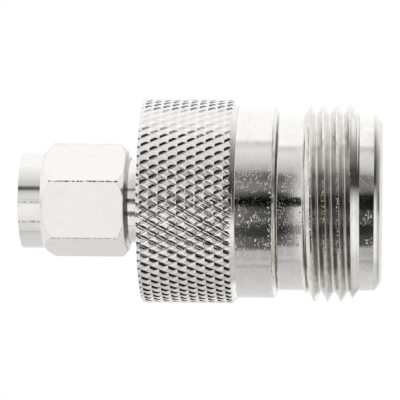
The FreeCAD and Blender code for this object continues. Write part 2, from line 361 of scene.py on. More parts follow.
shell = finished(turned("jack_shell", SHELL_OUTLINE, SHELL_SIDES), SHELL_EDGE)
groove_half = THREAD_PITCH * GROOVE_HALF
groove_outer_r = THREAD_CREST_R + THREAD_PAST
groove_flare = groove_half + THREAD_PAST * FLANK_SLOPE
groove_root = groove_half - (THREAD_CREST_R - THREAD_ROOT_R) * FLANK_SLOPE
cut(shell, thread_cutter((
    (THREAD_ROOT_R, THREAD_START_Z - groove_root),
    (THREAD_ROOT_R, THREAD_START_Z + groove_root),
    (groove_outer_r, THREAD_START_Z - groove_flare),
    (groove_outer_r, THREAD_START_Z + groove_flare),
), THREAD_PITCH, THREAD_TURNS, THREAD_STEPS, THREAD_ROUNDING))
finished(shell)


def surface_group(name, inputs, outputs):
    """Starts a node group with number inputs, and gives its tree, its inputs and its output node."""
    group = bpy.data.node_groups.new(name, "ShaderNodeTree")
    for label, value in inputs:
        socket = group.interface.new_socket(label, in_out="INPUT", socket_type="NodeSocketFloat")
        socket.default_value = value
    for label in outputs:
        group.interface.new_socket(label, in_out="OUTPUT", socket_type="NodeSocketFloat")
    given = group.nodes.new("NodeGroupInput")
    result = group.nodes.new("NodeGroupOutput")
    return group, given.outputs, result


def times(tree, value, *others):
    """Multiplies values."""
    for other in others:
        value = maths(tree, "MULTIPLY", value, other)
    return value


def highest(tree, value, *others):
    """Gives the highest of values."""
    for other in others:
        value = maths(tree, "MAXIMUM", value, other)
    return value


def near(tree, value, target, width):
    """Gives 1 where a value is within a width of its target, fading out over as much again."""
    away = maths(tree, "ABSOLUTE", maths(tree, "SUBTRACT", value, target))
    return ranged(tree, away, width, 2 * width, 1.0, 0.0)


def between(tree, value, low, high):
    """Gives 1 between two edges, each written as where it is 0 and where it is 1."""
    return times(tree, ranged(tree, value, *low), ranged(tree, value, *high))


Place = namedtuple("Place", "around along out_r bearing")


def unrolled(tree):
    """Adds a place on the piece: millimetres round the axis, along it and out from it, and its bearing."""
    axes = add(tree, "SeparateXYZ", {0: add(tree, "TexCoord").outputs["Object"]})
    bearing = bearing_of(tree, axes)
    flat = add(tree, "CombineXYZ", {"X": axes.outputs["X"], "Y": axes.outputs["Y"]}).outputs[0]
    radius = add(tree, "VectorMath", {0: flat}, operation="LENGTH").outputs["Value"]
    out_r = times(tree, radius, 1 / MM)
    return Place(times(tree, bearing, out_r), times(tree, axes.outputs["Z"], 1 / MM), out_r, bearing)


def noise_of(tree, place, grain, third=0.0, detail=2.0, roughness=0.5):
    """Adds noise with so many grains a millimetre in each direction, or a third number instead."""
    numbers = [times(tree, distance, many) for distance, many in zip(place, grain)] + [third]
    vector = add(tree, "CombineXYZ", enumerate(numbers[:3])).outputs[0]
    return add(tree, "TexNoise", {
        "Vector": vector, "Scale": 1.0, "Detail": detail, "Roughness": roughness,
    }).outputs["Fac"]


# The marks that turning and handling leave in bright plating. Rings of the turning tool, a frost
# and flecks are given by their height in micrometres. Hair scratches and clouds are masks.
RING_GRAIN, FROST_GRAIN, FLECK_GRAIN = (0.12, 14.0, 14.0), (7.0, 8.0, 8.0), (6.5, 7.5, 7.5)
FLECK_RANGE = (0.59, 0.65)
CLUSTER_GRAIN, CLUSTER_THIRD, CLUSTER_RANGE = (1.1, 1.1), 8.0, (0.42, 0.55)
HAIR_SLANTS = ((0.75, (0.30, 2.2)), (-0.35, (0.25, 1.8)), (1.15, (0.4, 2.5)))
HAIR_LEVELS, HAIR_WIDTH, HAIR_THIRD = (0.42, 0.47, 0.52, 0.57), 0.012, 20
CHOICE_GRAIN, CHOICE_THIRD, CHOICE_RANGE, CHOICE_MIDDLE = (0.9, 1.3), 9, (0.53, 0.58), 0.5
CLOUD_GRAIN, CLOUD_RANGE = (0.9, 0.9, 0.9), (0.40, 0.7)
marks, given, result = surface_group(
    "plating_marks", (("Rings", 1.0), ("Frost", 1.0), ("Flecks", 4.0)), ("Height", "Hairs", "Clouds"))
at = unrolled(marks)
clouds = ranged(marks, noise_of(marks, at, CLOUD_GRAIN, detail=4.0), *CLOUD_RANGE)
at = at._replace(along=maths(marks, "ADD", at.along, at.out_r))
rings = noise_of(marks, at, RING_GRAIN)
frost = noise_of(marks, at, FROST_GRAIN, roughness=0.6)
flecked = times(marks, ranged(marks, noise_of(marks, at, FLECK_GRAIN, detail=1.0), *FLECK_RANGE),
                ranged(marks, noise_of(marks, at, CLUSTER_GRAIN, CLUSTER_THIRD), *CLUSTER_RANGE))
hairs = []
for slant, grain in HAIR_SLANTS:
    lengthwise = maths(marks, "ADD", times(marks, at.around, math.cos(slant)),
                       times(marks, at.along, math.sin(slant)))
    crosswise = maths(marks, "SUBTRACT", times(marks, at.along, math.cos(slant)),
                      times(marks, at.around, math.sin(slant)))
    slanted = (lengthwise, crosswise)
    wander = noise_of(marks, slanted, grain, slant * HAIR_THIRD, detail=0.0)
    some = noise_of(marks, slanted, CHOICE_GRAIN, slant * CHOICE_THIRD)
    for level in HAIR_LEVELS:
        chosen = maths(marks, "ADD", some, (level - CHOICE_MIDDLE) / 2)
        hairs.append(times(marks, near(marks, wander, level, HAIR_WIDTH),
                           ranged(marks, chosen, *CHOICE_RANGE)))
height = maths(marks, "ADD", times(marks, rings, given["Rings"]), times(marks, frost, given["Frost"]))
height = maths(marks, "ADD", height, times(marks, flecked, given["Flecks"]))
marks.links.new(height, result.inputs["Height"])
marks.links.new(highest(marks, *hairs), result.inputs["Hairs"])
marks.links.new(clouds, result.inputs["Clouds"])

NICKEL, NICKEL_SHADE = (0.895, 0.885, 0.86, 1), (0.88, 0.868, 0.84, 1)
BARE_BRASS, HAIR_SHADE = (0.92, 0.76, 0.52, 1), (0.1, 0.09, 0.08, 1)
NICKEL_GLOSS, NICKEL_WORN = 0.085, 0.20
MICROMETRE = 0.000001


def plated(name, soiled_or_shaded_by, soil_or_shade, marked, flecked_by=None, pressed_by=None, bared_by=None, hair=0.12):
    """Bright nickel with soil, wear, painted shade and bare brass where masks put them, and marks as high as
    others give.
    """
    finish = bpy.data.materials.new(name)
    finish.use_nodes = True
    tree = finish.node_tree
    shader = tree.nodes["Principled BSDF"]
    shader.inputs["Metallic"].default_value = 1.0
    at = unrolled(tree)
    wear = add(tree, "Group", marked, node_tree=marks)
    if flecked_by:
        tree.links.new(flecked_by(tree, at), wear.inputs["Flecks"])
    base = blended(tree, wear.outputs["Clouds"], NICKEL, NICKEL_SHADE)
    base = blended(tree, times(tree, wear.outputs["Hairs"], hair), base, HAIR_SHADE)
    if bared_by:
        base = blended(tree, bared_by(tree, at), base, BARE_BRASS)
    # This mask brings soil and wear, and also painted shade and painted reflections, into the base colour.
    soiled_or_shaded = soiled_or_shaded_by(tree, at)
    tree.links.new(blended(tree, soiled_or_shaded, base, soil_or_shade), shader.inputs["Base Color"])
    tree.links.new(ranged(tree, soiled_or_shaded, 0.0, 1.0, NICKEL_GLOSS, NICKEL_WORN), shader.inputs["Roughness"])
    height = wear.outputs["Height"]
    if pressed_by:
        height = maths(tree, "ADD", height, pressed_by(tree, at))
    bump = add(tree, "Bump", {"Height": height, "Distance": MICROMETRE, "Strength": 1.0})
    tree.links.new(bump.outputs[0], shader.inputs["Normal"])
    return finish


# Painted shade: a dark brown laid by bearing on the thread's flanks, in the neck's corner and at the seam of
# thread and neck, darkest just below the side towards the camera.
SHELL_PAINTED_SHADE = (0.16, 0.135, 0.105, 1)
SHELL_SHADED = (
    (-180, 0.5), (-80, 0.4), (-60, 0.65), (-40, 1.0), (-10, 0.85), (15, 0.55), (30, 0.25), (45, 0.1),
    (60, 0.03), (90, 0.0), (180, 0.3),
)
CORNER_SHADED = (
    (-180, 0.3), (-78, 0.2), (-70, 1.0), (-15, 1.0), (0, 0.7), (12, 0.5), (17, 1.0), (48, 0.9),
    (75, 0.2), (180, 0.3),
)
SEAM_SHADED = ((-180, 0.0), (-75, 0.2), (-70, 0.9), (-25, 0.9), (-8, 0.0), (180, 0.0))
SHELL_GRAIN, SHELL_THIRD = (1.6, 9.0), 3.0
FLANK_R, FLANK_Z = ((7.19, 7.24), (7.86, 7.6)), ((2.2, 2.5), (5.65, 5.5))
FLANK_PATCHES, CORNER_PATCHES = (0.25, 0.6, 0.25, 0.62), (0.30, 0.45)
CORNER_Z, CORNER_WIDTH, CORNER_R = 8.20, 0.055, (7.06, 7.10)
SEAM_Z, SEAM_WIDTH = 5.90, 0.03
SHELL_KNOCKED = ((-180, 0.0), (-12, 0.0), (-9, 0.9), (5, 0.9), (8, 0.0), (180, 0.0))
KNOCK_Z, KNOCK_WIDTH, KNOCK_R, KNOCK_FLECKED = 4.58, 0.13, (7.66, 7.76), 9.0
LESSER_KNOCK_Z, LESSER_KNOCK_WIDTH, LESSER_KNOCK = KNOCK_Z - 2 * THREAD_PITCH, 0.08, 0.5
CHIP_GRAIN, CHIP_THIRD, CHIP_RANGE = (3.0, 6.0), 6.0, (0.38, 0.46)
SHELL_FLECKED = (
    (-180, 0.08), (-35, 0.08), (-30, 0.20), (-28.5, 0.8), (-23, 0.8), (-21.5, 0.02), (-14.5, 0.02),
    (-13, 1.0), (-6.5, 1.0), (-4.5, 0.05), (5, 0.02), (7, 0.45), (12, 0.45), (15, 0.20), (18, 0.06),
    (180, 0.03),
)
FLECK_HEIGHT = 12.0
CREST_R, CREST_FLECKED = (7.84, 7.87), 3.0
RIM_Z, RIM_WIDTH, RIM_R = 8.60, 0.10, (7.5, 7.6)
NECK_LOW_Z, NECK_HIGH_Z, NECK_FLECKED = (5.9, 6.1), (8.2, 8.1), 3.0
BARREL_Z, GRIP_FLECKED = (9.4, 11.2), 3.0
FLARE_END_Z, FLARE_START_Z, NECK_R, NECK_FLARE = (5.90, 6.0), 7.9, (7.30, 7.15), 9.0


def shell_painted_shade(tree, at):
    """Painted shade on the thread's flanks, less of it towards the picture's top, and in the neck's corners.
    """
    patchy = noise_of(tree, at, SHELL_GRAIN, SHELL_THIRD, detail=3.0)
    flanks = times(tree, between(tree, at.out_r, *FLANK_R), between(tree, at.along, *FLANK_Z),
                   ranged(tree, patchy, *FLANK_PATCHES), by_bearing(tree, SHELL_SHADED, at.bearing))
    corner = times(tree, near(tree, at.along, CORNER_Z, CORNER_WIDTH), ranged(tree, at.out_r, *CORNER_R),
                   ranged(tree, patchy, *CORNER_PATCHES), by_bearing(tree, CORNER_SHADED, at.bearing))
    seam = times(tree, near(tree, at.along, SEAM_Z, SEAM_WIDTH), by_bearing(tree, SEAM_SHADED, at.bearing))
    return highest(tree, flanks, corner, seam)


def shell_knocks(tree, at):
    """Shows where one crest of the thread has been knocked, and another one less, near the camera."""
    lesser = near(tree, at.along, LESSER_KNOCK_Z, LESSER_KNOCK_WIDTH)
    knocked = highest(tree, near(tree, at.along, KNOCK_Z, KNOCK_WIDTH), times(tree, lesser, LESSER_KNOCK))
    return times(tree, knocked, ranged(tree, at.out_r, *KNOCK_R), by_bearing(tree, SHELL_KNOCKED, at.bearing))


def shell_flecks(tree, at):
    """How high the flecks stand: in stripes where the jack is rubbed, on its rim and on the crests."""
    neck = times(tree, ranged(tree, at.along, *NECK_LOW_Z, 1.0, NECK_FLECKED),
                 ranged(tree, at.along, *NECK_HIGH_Z))
    barrel = ranged(tree, at.along, *BARREL_Z, 1.0, GRIP_FLECKED)
    rubbed = times(tree, by_bearing(tree, SHELL_FLECKED, at.bearing), highest(tree, neck, barrel))
    rim = times(tree, near(tree, at.along, RIM_Z, RIM_WIDTH), ranged(tree, at.out_r, *RIM_R))
    crests = times(tree, ranged(tree, at.out_r, *CREST_R), CREST_FLECKED)
    knocked = times(tree, shell_knocks(tree, at), KNOCK_FLECKED)
    return times(tree, highest(tree, rubbed, rim, crests, knocked), FLECK_HEIGHT)


def shell_pressing(tree, at):
    """A slight flare of the neck towards the thread."""
    past = highest(tree, maths(tree, "SUBTRACT", FLARE_START_Z, at.along), 0.0)
    on_neck = times(tree, ranged(tree, at.out_r, *NECK_R), ranged(tree, at.along, *FLARE_END_Z))
    return times(tree, past, past, NECK_FLARE, on_neck)


def shell_bared(tree, at):
    """Brass that shows in the thread's knocked crests."""
    chipped = noise_of(tree, at, CHIP_GRAIN, CHIP_THIRD)
    return times(tree, shell_knocks(tree, at), ranged(tree, chipped, *CHIP_RANGE))


# The shell's dark brown is painted shade on the flanks and corners.
shell.data.materials.append(plated(
    "shell_nickel", shell_painted_shade, SHELL_PAINTED_SHADE, {"Rings": 0.25, "Frost": 0.3}, shell_flecks,
    pressed_by=shell_pressing, bared_by=shell_bared, hair=0.06))
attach(shell, "shell")
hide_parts("n_jack_shell")

# Grip: a brass sleeve with a diamond knurl rolled into it, plated with the rest. Its diamonds stand
# in rows of 64 with flat tips, and run out over a chamfer next to the jack's barrel.
KNURL_ROUND, KNURL_PERIOD = 64, 1.438
KNURL_TIP_R = 8.15
KNURL_TIP_Z, KNURL_TIP_DEGREES = 17.27, -61.3
KNURL_ROWS, KNURL_ROWS_BELOW_TIP = 6, 4.5
KNURL_STEPS = ((0.012, 0.0), (0.145, 0.130), (0.035, 0.010))
KNURL_UNEVEN, KNURL_SEED = 0.015, 7
MERGE_KNURL, KNURL_RIM = 0.00001, 0.01
GRIP_OUTLINE = (
    (6.00, 11.39), (7.68, 11.39), (8.60, 12.31), (8.60, 18.93), (8.57, 18.96), (3.40, 18.96),
    (3.36, 18.92), (3.36, 17.00), (6.00, 17.00),
)


def knurled(name):
    """Makes the knurled rod: a net of squares, each poked, the net dissolved, the diamonds raised."""
    root_r = (KNURL_TIP_R - sum(rise for inwards, rise in KNURL_STEPS)) * MM
    bpy.ops.object.select_all(action="DESELECT")
    low_z = KNURL_TIP_Z - KNURL_PERIOD * KNURL_ROWS_BELOW_TIP
    bpy.ops.mesh.primitive_cylinder_add(
        vertices=KNURL_ROUND, radius=root_r, depth=KNURL_PERIOD * MM, end_fill_type="NOTHING",
        location=(0, 0, (low_z + KNURL_PERIOD / 2) * MM))
    rod = bpy.context.object
    rod.name = rod.data.name = name
    rod.rotation_euler.z = math.radians(KNURL_TIP_DEGREES)
    bpy.ops.object.transform_apply(location=True, rotation=True)
    rows = rod.modifiers.new("rows", "ARRAY")
    rows.count = KNURL_ROWS
    rows.use_relative_offset = False
    rows.use_constant_offset = True
    rows.constant_offset_displace = (0, 0, KNURL_PERIOD * MM)
    rows.use_merge_vertices = True
    rows.merge_threshold = MERGE_KNURL
    bpy.ops.object.modifier_apply(modifier=rows.name)
    corners = len(rod.data.vertices)
    sagitta = root_r * (1 - math.cos(math.pi / KNURL_ROUND))
    bpy.ops.object.mode_set(mode="EDIT")
    bpy.ops.mesh.select_mode(type="FACE")
    bpy.ops.mesh.select_all(action="SELECT")
    bpy.ops.mesh.poke(offset=sagitta)
    bpy.ops.mesh.select_mode(type="EDGE")
    bpy.ops.mesh.select_all(action="DESELECT")
    bpy.ops.object.mode_set(mode="OBJECT")
    high_z = low_z + KNURL_PERIOD * KNURL_ROWS
    for edge in rod.data.edges:
        ends = [rod.data.vertices[number] for number in edge.vertices]
        heights = [end.co.z / MM for end in ends]
        at_rim = max(heights) < low_z + KNURL_RIM or min(heights) > high_z - KNURL_RIM
        edge.select = max(edge.vertices) < corners and not at_rim
    bpy.ops.object.mode_set(mode="EDIT")
    bpy.ops.mesh.dissolve_edges(use_verts=False)
    bpy.ops.mesh.select_mode(type="FACE")
    bpy.ops.mesh.select_all(action="SELECT")
    bpy.ops.transform.vertex_random(offset=KNURL_UNEVEN * MM, uniform=0, normal=0, seed=KNURL_SEED)
    for inwards, rise in KNURL_STEPS:
        bpy.ops.mesh.inset(thickness=inwards * MM, depth=rise * MM, use_individual=True)
    bpy.ops.mesh.select_all(action="SELECT")
    bpy.ops.mesh.fill_holes(sides=0)
    bpy.ops.mesh.select_all(action="SELECT")
    bpy.ops.mesh.normals_make_consistent(inside=False)
    bpy.ops.object.mode_set(mode="OBJECT")
    return rod


grip = knurled("knurled_grip")
cut(grip, turned("grip_blank", GRIP_OUTLINE, SHELL_SIDES), "INTERSECT")
finished(grip)
# Painted shade: a near black laid by bearing in the knurl's grooves and slashes and over its lower side.
GRIP_PAINTED_SHADE = (0.06, 0.05, 0.04, 1)
KNURL_TIP_BEARING = KNURL_TIP_DEGREES + 90
KNURL_SIDE_R, KNURL_SIDE_Z = (7.80, 7.86), (11.6, 11.8)
GROOVE_SHADED = (
    (-180, 0.4), (-75, 0.3), (-50, 0.3), (-28, 0.35), (-21, 1.0), (-8, 1.0), (5, 0.6), (12, 0.35),
    (25, 0.12), (50, 0.0), (110, 0.0), (180, 0.4),
)
GROOVE_PLACE, FALLING_WIDTH, RISING_WIDTH, RISING_SHADED = 0.5, 0.035, 0.025, 0.7
GROOVE_GRAIN, GROOVE_PATCHES = (2.2, 2.2, 1.0), (0.30, 0.55, 0.25, 0.9)
SLASHED = (
    (-180, 0.0), (-60, 0.0), (-32, 0.05), (-25, 0.7), (-21, 1.0), (-10, 0.9), (-5, 0.5), (4, 0.45),
    (7, 0.0), (180, 0.0),
)
FACET_PLACE, SLASHED_WIDTH, SCORED_WIDTH = 0.30, 0.17, 0.15
SLASHES, SLASH_PLACE, SLASH_WIDTH = 4.0, 0.5, 0.21
SLASH_GRAIN, SLASH_THIRD, SLASH_CHOICE = (1.3, 1.1), 5.0, (0.38, 0.44)
LOWER_SHADED = (
    (-180, 0.0), (-75, 0.0), (-66, 0.18), (-50, 0.18), (-40, 0.12), (-34, 0.05), (-26, 0.0), (180, 0.0),
)
STREAKED = (
    (-180, 0.0), (-44, 0.0), (-40, 1.0), (-27, 1.0), (-24, 0.2), (-10, 0.2), (-6, 0.7), (5, 0.7),
    (9, 0.0), (180, 0.0),
)
STREAK_GRAIN, STREAK_THIRD, STREAK_MIDDLE, DENT_GRAIN = (5.5, 0.9), 2.0, 0.5, (3.2, 3.2, 3.2)
STREAK_HEIGHT, SCORE_HEIGHT, DENT_HEIGHT, LEAN = 5.0, 60.0, 5.0, -14.0


def knurl_net(tree, at):
    """Gives a place in the knurl's own net: across its falling grooves, and across its rising ones."""
    turn = times(tree, at.bearing, KNURL_ROUND / (2 * math.pi))
    turn = maths(tree, "SUBTRACT", turn, KNURL_TIP_BEARING * KNURL_ROUND / 360)
    rise = times(tree, maths(tree, "SUBTRACT", at.along, KNURL_TIP_Z), 1 / KNURL_PERIOD)
    return maths(tree, "SUBTRACT", turn, rise), maths(tree, "ADD", turn, rise)


def grip_painted_shade(tree, at):
    """Painted shade in the knurl's grooves, in slashes beside them near the camera, and faintly below that.
    """
    net = knurl_net(tree, at)
    falling, rising = (maths(tree, "FRACT", across) for across in net)
    patchy = noise_of(tree, at, GROOVE_GRAIN, detail=3.0)
    grooves = highest(tree, near(tree, falling, GROOVE_PLACE, FALLING_WIDTH),
                      times(tree, near(tree, rising, GROOVE_PLACE, RISING_WIDTH), RISING_SHADED))
    grooves = times(tree, grooves, by_bearing(tree, GROOVE_SHADED, at.bearing),
                    ranged(tree, patchy, *GROOVE_PATCHES))
    wander = noise_of(tree, net, SLASH_GRAIN, SLASH_THIRD, detail=1.0)
    lines = maths(tree, "FRACT", maths(tree, "ADD", times(tree, net[0], SLASHES), wander))
    slashes = times(tree, near(tree, lines, SLASH_PLACE, SLASH_WIDTH), ranged(tree, wander, *SLASH_CHOICE),
                    near(tree, falling, FACET_PLACE, SLASHED_WIDTH), by_bearing(tree, SLASHED, at.bearing))
    # Painted shade, faint, over the knurl's lower side.
    lower_shade = by_bearing(tree, LOWER_SHADED, at.bearing)
    return times(tree, highest(tree, lower_shade, grooves, slashes), ranged(tree, at.along, *KNURL_SIDE_Z),
                 ranged(tree, at.out_r, *KNURL_SIDE_R))


def grip_pressing(tree, at):
    """What the knurling wheels leave: streaks along one set of grooves, dents, and a slight taper."""
    net = knurl_net(tree, at)
    scored = times(tree, near(tree, maths(tree, "FRACT", net[0]), FACET_PLACE, SCORED_WIDTH),
                   by_bearing(tree, STREAKED, at.bearing), SCORE_HEIGHT)
    streaks = noise_of(tree, net, STREAK_GRAIN, STREAK_THIRD, detail=1.0)
    streaks = times(tree, maths(tree, "SUBTRACT", streaks, STREAK_MIDDLE),
                    maths(tree, "ADD", scored, STREAK_HEIGHT))
    dents = times(tree, noise_of(tree, at, DENT_GRAIN, detail=1.0), DENT_HEIGHT)
    marked = times(tree, maths(tree, "ADD", streaks, dents), ranged(tree, at.out_r, *KNURL_SIDE_R))
    return maths(tree, "ADD", marked, times(tree, at.along, LEAN))


grip.data.materials.append(plated(
    "grip_nickel", grip_painted_shade, GRIP_PAINTED_SHADE, {"Rings": 0.0, "Frost": 1.0, "Flecks": 1.0},
    pressed_by=grip_pressing, hair=0.05))
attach(grip, "shell")
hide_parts("knurled_body")

# Plug shell: the SMA plug's fixed part, turned in one piece with its flange, its shank with the
# snap ring's groove and its thin contact tube, and plated. The grip holds its flange.
PLUG_OUTLINE = (
    (2.065, 14.90), (6.00, 14.90), (6.00, 17.00), (3.36, 17.00), (3.36, 21.90), (2.95, 21.90),
    (2.95, 22.70), (3.36, 22.70), (3.36, 23.45), (2.295, 23.45), (2.295, 26.00), (2.065, 26.00),
)
plug = finished(turned("plug_shell", PLUG_OUTLINE, SHELL_SIDES), SHELL_EDGE)
# Painted reflections and shade: dark stripes along the shank at set bearings, and a dark line at its foot.
PLUG_PAINTED_SHADE = (0.12, 0.10, 0.08, 1)
PLUG_REFLECTION_STRIPES = (
    (-180, 0.0), (-38, 0.0), (-37, 0.5), (-36, 0.0), (-24, 0.0), (-22, 0.8), (-16, 0.8), (-14, 0.0),
    (-5, 0.0), (-4, 0.8), (2, 0.8), (4, 0.0), (13.4, 0.0), (14.4, 0.9), (15.4, 0.9), (16.4, 0.0),
    (180, 0.0),
)
PLUG_GRAIN, STRIPE_PATCHES, FOOT_PATCHES = (3.0, 3.0, 1.0), (0.38, 0.55), (0.4, 0.6)
STRIPE_R, FOOT_Z, FOOT_WIDTH = (3.3, 3.35), 18.96, 0.05


def plug_painted_shade(tree, at):
    """Painted dark reflections in stripes along the shank, and painted shade in the corner at its foot by the
    grip's end wall.
    """
    patchy = noise_of(tree, at, PLUG_GRAIN)
    stripes = times(tree, ranged(tree, patchy, *STRIPE_PATCHES), by_bearing(tree, PLUG_REFLECTION_STRIPES, at.bearing),
                    ranged(tree, at.out_r, *STRIPE_R))
    foot = times(tree, near(tree, at.along, FOOT_Z, FOOT_WIDTH), ranged(tree, patchy, *FOOT_PATCHES))
    return highest(tree, stripes, foot)


plug.data.materials.append(plated(
    "plug_nickel", plug_painted_shade, PLUG_PAINTED_SHADE, {"Rings": 0.4, "Frost": 0.6, "Flecks": 1.0}))
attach(plug, "shell")
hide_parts("sma_plug_shell")

# Coupling nut: 8 mm hexagon brass bar, turned at both ends, bored for the snap ring and tapped
# 1/4-36 from the front, then plated.
NUT_CORNERS, NUT_CORNER_R, NUT_CORNER_DEGREES = 6, 4.6188, -70.93
NUT_MIDDLE_Z, NUT_BAR_LENGTH = 24.4, 10.0
NUT_CORNER_EDGE, NUT_EDGE = 0.06, 0.03
NUT_OUTLINE = (
    (3.42, 20.07), (3.52, 20.07), (4.00, 20.22), (4.70, 20.876), (4.70, 26.109), (3.87, 26.939),
    (3.87, 28.74), (3.30, 28.74), (2.86, 28.30), (2.86, 24.25), (3.42, 24.25), (3.42, 22.43),
    (3.65, 22.43), (3.65, 21.88), (3.42, 21.88),
)
NUT_THREAD_PITCH, NUT_THREAD_TURNS = INCH / 36, 8
NUT_THREAD_CREST_R, NUT_THREAD_ROOT_R = 2.86, 3.19
NUT_THREAD_START_Z, NUT_THREAD_PAST = 23.80, 0.04
bpy.ops.object.select_all(action="DESELECT")
bpy.ops.mesh.primitive_cylinder_add(
    vertices=NUT_CORNERS, radius=NUT_CORNER_R * MM, depth=NUT_BAR_LENGTH * MM,
    location=(0, 0, NUT_MIDDLE_Z * MM))
nut = bpy.context.object
nut.name = nut.data.name = "hexagon_nut"
nut.rotation_euler.z = math.radians(NUT_CORNER_DEGREES - 90)
bpy.ops.object.transform_apply(location=True, rotation=True)
finished(nut, NUT_CORNER_EDGE)
cut(nut, finished(turned("nut_blank", NUT_OUTLINE, SHELL_SIDES), NUT_EDGE), "INTERSECT")
nut_half = NUT_THREAD_PITCH * GROOVE_HALF
nut_root = nut_half - (NUT_THREAD_ROOT_R - NUT_THREAD_CREST_R) * FLANK_SLOPE
nut_flare = nut_half + NUT_THREAD_PAST * FLANK_SLOPE
cut(nut, thread_cutter((
    (NUT_THREAD_ROOT_R, NUT_THREAD_START_Z - nut_root),
    (NUT_THREAD_ROOT_R, NUT_THREAD_START_Z + nut_root),
    (NUT_THREAD_CREST_R - NUT_THREAD_PAST, NUT_THREAD_START_Z - nut_flare),
    (NUT_THREAD_CREST_R - NUT_THREAD_PAST, NUT_THREAD_START_Z + nut_flare),
), NUT_THREAD_PITCH, NUT_THREAD_TURNS, THREAD_STEPS, 0))
finished(nut)
# Wear along the edges and painted shade on the rear cone share this dark brown.
NUT_WEAR_AND_SHADE = (0.075, 0.06, 0.045, 1)
NUT_WORN = ((-180, 0.5), (-30, 0.5), (0, 0.6), (14, 1.0), (26, 1.0), (40, 0.5), (180, 0.5))
FRONT_WORN = ((-180, 0.1), (-42, 0.1), (-40, 0.35), (18, 0.35), (20, 0.1), (180, 0.1))
NUT_SHADED = (
    (-180, 0.0), (-60, 0.2), (-45, 0.95), (17, 0.95), (24, 0.5), (60, 0.3), (75, 0.0), (180, 0.0),
)
NUT_LINED = (
    (-180, 0.0), (-41.3, 0.0), (-41, 0.35), (-40.4, 0.35), (-40, 0.0), (-27.6, 0.0), (-27.1, 0.8),
    (-25.7, 0.8), (-25.1, 0.0), (-3.4, 0.0), (-3.0, 0.7), (-2.2, 0.7), (-1.8, 0.0), (180, 0.0),
)
NICK_GRAIN, EDGE_NICKS, LINE_NICKS = (5.0, 5.0, 1.0), (0.42, 0.54), (0.44, 0.52)
CORNER_WORN_R, CONE_WORN_DEPTH, CONE_WORN_WIDTH = (4.578, 4.588), 0.022, 0.010
SHADED_R, SHADED_Z = (4.20, 4.04), (20.42, 20.32)
COLLAR_R, COLLAR_Z = (3.84, 3.86), (26.9, 27.0)
(REAR_LOW_R, REAR_LOW_Z), (REAR_HIGH_R, REAR_HIGH_Z) = NUT_OUTLINE[2:4]
REAR_CONE_SLOPE = (REAR_HIGH_R - REAR_LOW_R) / (REAR_HIGH_Z - REAR_LOW_Z)
REAR_CONE = REAR_LOW_R - REAR_LOW_Z * REAR_CONE_SLOPE
FRONT_CONE = sum(NUT_OUTLINE[5])


def nut_wear_and_shade(tree, at):
    """Plating worn off along the edges of the flats, painted shade on the rear cone, and lines on the collar.
    """
    nicks = noise_of(tree, at, NICK_GRAIN, detail=4.0, roughness=0.7)
    corner = times(tree, ranged(tree, at.out_r, *CORNER_WORN_R), by_bearing(tree, NUT_WORN, at.bearing))
    rear_r = maths(tree, "ADD", times(tree, at.along, REAR_CONE_SLOPE), REAR_CONE)
    rear = near(tree, maths(tree, "SUBTRACT", rear_r, at.out_r), CONE_WORN_DEPTH, CONE_WORN_WIDTH)
    front_place = maths(tree, "ADD", at.out_r, at.along)
    front = times(tree, near(tree, front_place, FRONT_CONE - CONE_WORN_DEPTH, CONE_WORN_WIDTH),
                  by_bearing(tree, FRONT_WORN, at.bearing))
    edges = times(tree, highest(tree, corner, rear, front), ranged(tree, nicks, *EDGE_NICKS))
    # Painted shade: the rear cone darkened on the side towards the camera.
    shaded = times(tree, ranged(tree, at.out_r, *SHADED_R), ranged(tree, at.along, *SHADED_Z),
                   by_bearing(tree, NUT_SHADED, at.bearing))
    lined = times(tree, by_bearing(tree, NUT_LINED, at.bearing), ranged(tree, nicks, *LINE_NICKS),
                  ranged(tree, at.along, *COLLAR_Z), ranged(tree, at.out_r, *COLLAR_R))
    return highest(tree, edges, shaded, lined)


nut.data.materials.append(plated(
    "nut_nickel", nut_wear_and_shade, NUT_WEAR_AND_SHADE, {"Rings": 0.2, "Frost": 0.1, "Flecks": 0.0}, hair=0.02))
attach(nut, "nut")
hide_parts("coupling_nut")

# Snap ring: a ring of spring bronze, split so that it springs over the shank. It sits half in the
# shank's groove and half in the nut's, and so carries the nut.
RING_OUTLINE = ((3.02, 21.93), (3.60, 21.93), (3.60, 22.38), (3.02, 22.38))
RING_GAP, RING_GAP_REACH, RING_GAP_R, RING_GAP_Z, RING_EDGE = 0.90, 2, 3.3, 22.15, 0.03
ring = turned("split_ring", RING_OUTLINE, SHELL_SIDES)
bpy.ops.object.select_all(action="DESELECT")
bpy.ops.mesh.primitive_cube_add(size=MM, location=(RING_GAP_R * MM, 0, RING_GAP_Z * MM))
gap = bpy.context.object
gap.scale = (RING_GAP_REACH, RING_GAP, RING_GAP_REACH)
bpy.ops.object.transform_apply(location=True, scale=True)
finished(cut(ring, gap), RING_EDGE)

# The fine grain of the bronze, silicone, PTFE and gold, so many to a millimetre round and along.
grains, given, result = surface_group("fine_grain", (("Round", 1.0), ("Along", 10.0)), ("Grain",))
fine = noise_of(grains, unrolled(grains), (given["Round"], given["Along"], given["Along"]),
                detail=4.0, roughness=0.6)
grains.links.new(fine, result.inputs["Grain"])
FINE_RANGE, GLOSS_LEAST, GLOSS_MOST = (0.3, 0.7), 0.85, 1.2


